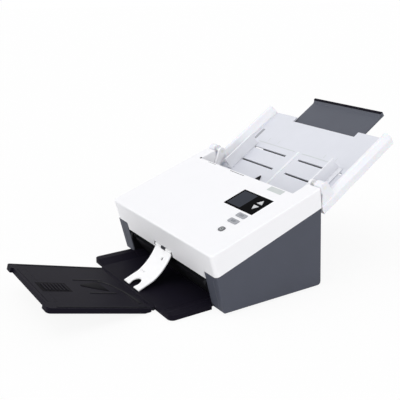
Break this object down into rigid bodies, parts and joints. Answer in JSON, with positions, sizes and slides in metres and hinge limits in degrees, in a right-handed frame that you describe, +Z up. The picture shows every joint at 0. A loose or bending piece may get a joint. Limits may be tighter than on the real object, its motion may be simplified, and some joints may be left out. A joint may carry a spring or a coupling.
{
  "type": "document scanner",
  "caption": "Sheet-fed desktop document scanner with a hinged cover, folding input tray with sliding paper guides, and a fold-out output tray.",
  "frame": {"origin": "bottom centre of the whole object's box, on the desk under the feet", "axes": "+X to the machine's right as seen by someone in front of it, +Y to the rear where the input tray stands, +Z up; sheets leave towards -Y"},
  "size_m": [0.316, 0.6282, 0.2536],
  "materials": {
    "white_abs": "fine moulded",
    "charcoal_abs": "fine moulded",
    "black_abs": "fine moulded",
    "clear_white_abs": "fine moulded",
    "grey_key": "satin",
    "dark_key": "satin",
    "gloss_black": "polished",
    "lcd": "polished",
    "label_grey": "satin",
    "steel": "brushed",
    "black_steel": "powder coated",
    "roller_rubber": "ground",
    "feet_rubber": "moulded",
    "circuit_board": "lacquered",
    "sensor_glass": "polished",
    "belt_rubber": "moulded"
  },
  "bodies": {
    "base": {"base_pan": "black_steel", "left_casing": "charcoal_abs", "right_casing": "charcoal_abs", "left_side_plate": "black_steel", "right_side_plate": "black_steel", "rear_panel": "charcoal_abs", "rear_screws": "steel", "rubber_feet": "feet_rubber", "power_inlet": "black_abs", "usb_port": "steel", "main_board": "circuit_board", "lower_paper_guide": "black_abs", "front_cowl": "black_abs", "lower_scan_sensor": "black_abs", "lower_scan_glass": "sensor_glass", "sensor_cross_bar": "black_steel", "drive_motor": "steel", "drive_belt": "belt_rubber", "cover_hinge_pins": "steel", "tray_posts": "charcoal_abs", "tray_hinge_pins": "steel", "output_tray": "black_abs", "output_hinge_pin": "steel"},
    "motor_shaft": {"motor_shaft": "steel"},
    "transport_roller": {"transport_shaft": "steel", "transport_tyres": "roller_rubber"},
    "exit_roller": {"exit_shaft": "steel", "exit_tyres": "roller_rubber"},
    "separation_roller": {"separation_roller": "roller_rubber"},
    "cover": {"top_cover": "white_abs", "cover_frame": "black_abs", "upper_scan_sensor": "black_abs", "upper_scan_glass": "sensor_glass", "display_panel": "gloss_black", "lcd_window": "lcd", "control_board": "circuit_board", "blank_plate": "label_grey"},
    "feed_roller": {"feed_roller": "roller_rubber"},
    "pick_roller": {"pick_roller": "roller_rubber"},
    "transport_idler": {"transport_idler": "black_abs"},
    "exit_idler": {"exit_idler": "black_abs"},
    "up_key": {"up_key": "grey_key"},
    "down_key": {"down_key": "grey_key"},
    "scan_button": {"scan_button": "grey_key"},
    "mode_button": {"mode_button": "grey_key"},
    "power_button": {"power_button": "dark_key"},
    "release_button": {"release_button": "dark_key"},
    "flap_pin": {"flap_pin": "steel"},
    "paper_flap": {"paper_flap": "white_abs"},
    "input_tray": {"input_tray": "clear_white_abs", "left_rail": "white_abs", "right_rail": "white_abs", "tray_channel": "white_abs"},
    "left_paper_guide": {"left_paper_guide": "clear_white_abs"},
    "right_paper_guide": {"right_paper_guide": "clear_white_abs"},
    "guide_pinion": {"guide_pinion": "white_abs"},
    "input_extension": {"input_extension": "charcoal_abs"},
    "output_extension": {"output_extension": "black_abs"},
    "paper_stop": {"paper_stop": "black_abs"}
  },
  "joints": [
    {"name": "cover_open", "type": "hinge", "parent": "base", "child": "cover", "pos_m": [0, -0.07268, 0.04], "axis": [1, 0, 0], "range_deg": [0, 50]},
    {"name": "flap_pin_turn", "type": "hinge", "parent": "cover", "child": "flap_pin", "pos_m": [0, -0.08018, 0.0565], "axis": [1, 0, 0], "range_deg": [-70, 2]},
    {"name": "flap_lift", "type": "hinge", "parent": "flap_pin", "child": "paper_flap", "pos_m": [0, -0.08018, 0.0565], "axis": [-1, 0, 0], "range_deg": [0, 30]},
    {"name": "tray_fold", "type": "hinge", "parent": "base", "child": "input_tray", "pos_m": [0, 0.11832, 0.166], "axis": [-1, 0, 0], "range_deg": [-165, 0]},
    {"name": "extension_slide", "type": "slide", "parent": "input_tray", "child": "input_extension", "axis": [0, 0.8329, 0.5534], "range_m": [-0.053, 0]},
    {"name": "left_guide_slide", "type": "slide", "parent": "input_tray", "child": "left_paper_guide", "axis": [1, 0, 0], "range_m": [-0.011, 0.08]},
    {"name": "right_guide_slide", "type": "slide", "parent": "input_tray", "child": "right_paper_guide", "axis": [1, 0, 0], "range_m": [-0.08, 0.011]},
    {"name": "guide_pinion_turn", "type": "hinge", "parent": "input_tray", "child": "guide_pinion", "pos_m": [0, 0.17103, 0.15602], "axis": [0, -0.5534, 0.8329], "range_deg": [-47.7, 340.5]},
    {"name": "output_fold", "type": "hinge", "parent": "base", "child": "output_extension", "pos_m": [0, -0.15048, 0.0047], "axis": [1, 0, 0], "range_deg": [-80, 0]},
    {"name": "stop_lift", "type": "hinge", "parent": "output_extension", "child": "paper_stop", "pos_m": [0, -0.30277, 0.04694], "axis": [1, 0, 0], "range_deg": [0, 90]},
    {"name": "up_key_press", "type": "slide", "parent": "cover", "child": "up_key", "axis": [0, 0.3239, -0.9461], "range_m": [0, 0.0006], "stiffness_N_per_m": 400},
    {"name": "down_key_press", "type": "slide", "parent": "cover", "child": "down_key", "axis": [0, 0.3239, -0.9461], "range_m": [0, 0.0006], "stiffness_N_per_m": 400},
    {"name": "scan_button_press", "type": "slide", "parent": "cover", "child": "scan_button", "axis": [0, 0.3239, -0.9461], "range_m": [0, 0.0008], "stiffness_N_per_m": 400},
    {"name": "mode_button_press", "type": "slide", "parent": "cover", "child": "mode_button", "axis": [0, 0.3239, -0.9461], "range_m": [0, 0.0008], "stiffness_N_per_m": 400},
    {"name": "power_button_press", "type": "slide", "parent": "cover", "child": "power_button", "axis": [0, 0.3239, -0.9461], "range_m": [0, 0.0008], "stiffness_N_per_m": 400},
    {"name": "release_button_press", "type": "slide", "parent": "cover", "child": "release_button", "axis": [1, 0, 0], "range_m": [0, 0.002], "stiffness_N_per_m": 400},
    {"name": "transport_spin", "type": "hinge", "parent": "base", "child": "transport_roller", "pos_m": [0, 0.01727, 0.0597], "axis": [1, 0, 0], "continuous": true},
    {"name": "exit_spin", "type": "hinge", "parent": "base", "child": "exit_roller", "pos_m": [0, -0.05286, 0.0361], "axis": [1, 0, 0], "continuous": true},
    {"name": "motor_spin", "type": "hinge", "parent": "base", "child": "motor_shaft", "pos_m": [0, 0.07632, 0.038], "axis": [1, 0, 0], "continuous": true},
    {"name": "separation_spin", "type": "hinge", "parent": "base", "child": "separation_roller", "pos_m": [0, 0.05215, 0.07086], "axis": [1, 0, 0], "continuous": true},
    {"name": "feed_spin", "type": "hinge", "parent": "cover", "child": "feed_roller", "pos_m": [0, 0.03981, 0.08943], "axis": [1, 0, 0], "continuous": true},
    {"name": "pick_spin", "type": "hinge", "parent": "cover", "child": "pick_roller", "pos_m": [0, 0.05924, 0.09994], "axis": [1, 0, 0], "continuous": true},
    {"name": "transport_idler_spin", "type": "hinge", "parent": "cover", "child": "transport_idler", "pos_m": [0, 0.01271, 0.07325], "axis": [1, 0, 0], "continuous": true},
    {"name": "exit_idler_spin", "type": "hinge", "parent": "cover", "child": "exit_idler", "pos_m": [0, -0.05742, 0.04965], "axis": [1, 0, 0], "continuous": true}
  ],
  "couplings": [
    {"joint": "flap_pin_turn", "follows": "cover_open", "ratio": -1.34},
    {"joint": "right_guide_slide", "follows": "left_guide_slide", "ratio": -1},
    {"joint": "guide_pinion_turn", "follows": "left_guide_slide", "rad_per_m": 74.074},
    {"joint": "exit_spin", "follows": "transport_spin", "ratio": 1},
    {"joint": "motor_spin", "follows": "transport_spin", "ratio": 1},
    {"joint": "separation_spin", "follows": "transport_spin", "ratio": 0.72727},
    {"joint": "feed_spin", "follows": "transport_spin", "ratio": -0.72727},
    {"joint": "pick_spin", "follows": "transport_spin", "ratio": -0.88889},
    {"joint": "transport_idler_spin", "follows": "transport_spin", "ratio": -1.3333},
    {"joint": "exit_idler_spin", "follows": "transport_spin", "ratio": -1.3333}
  ]
}
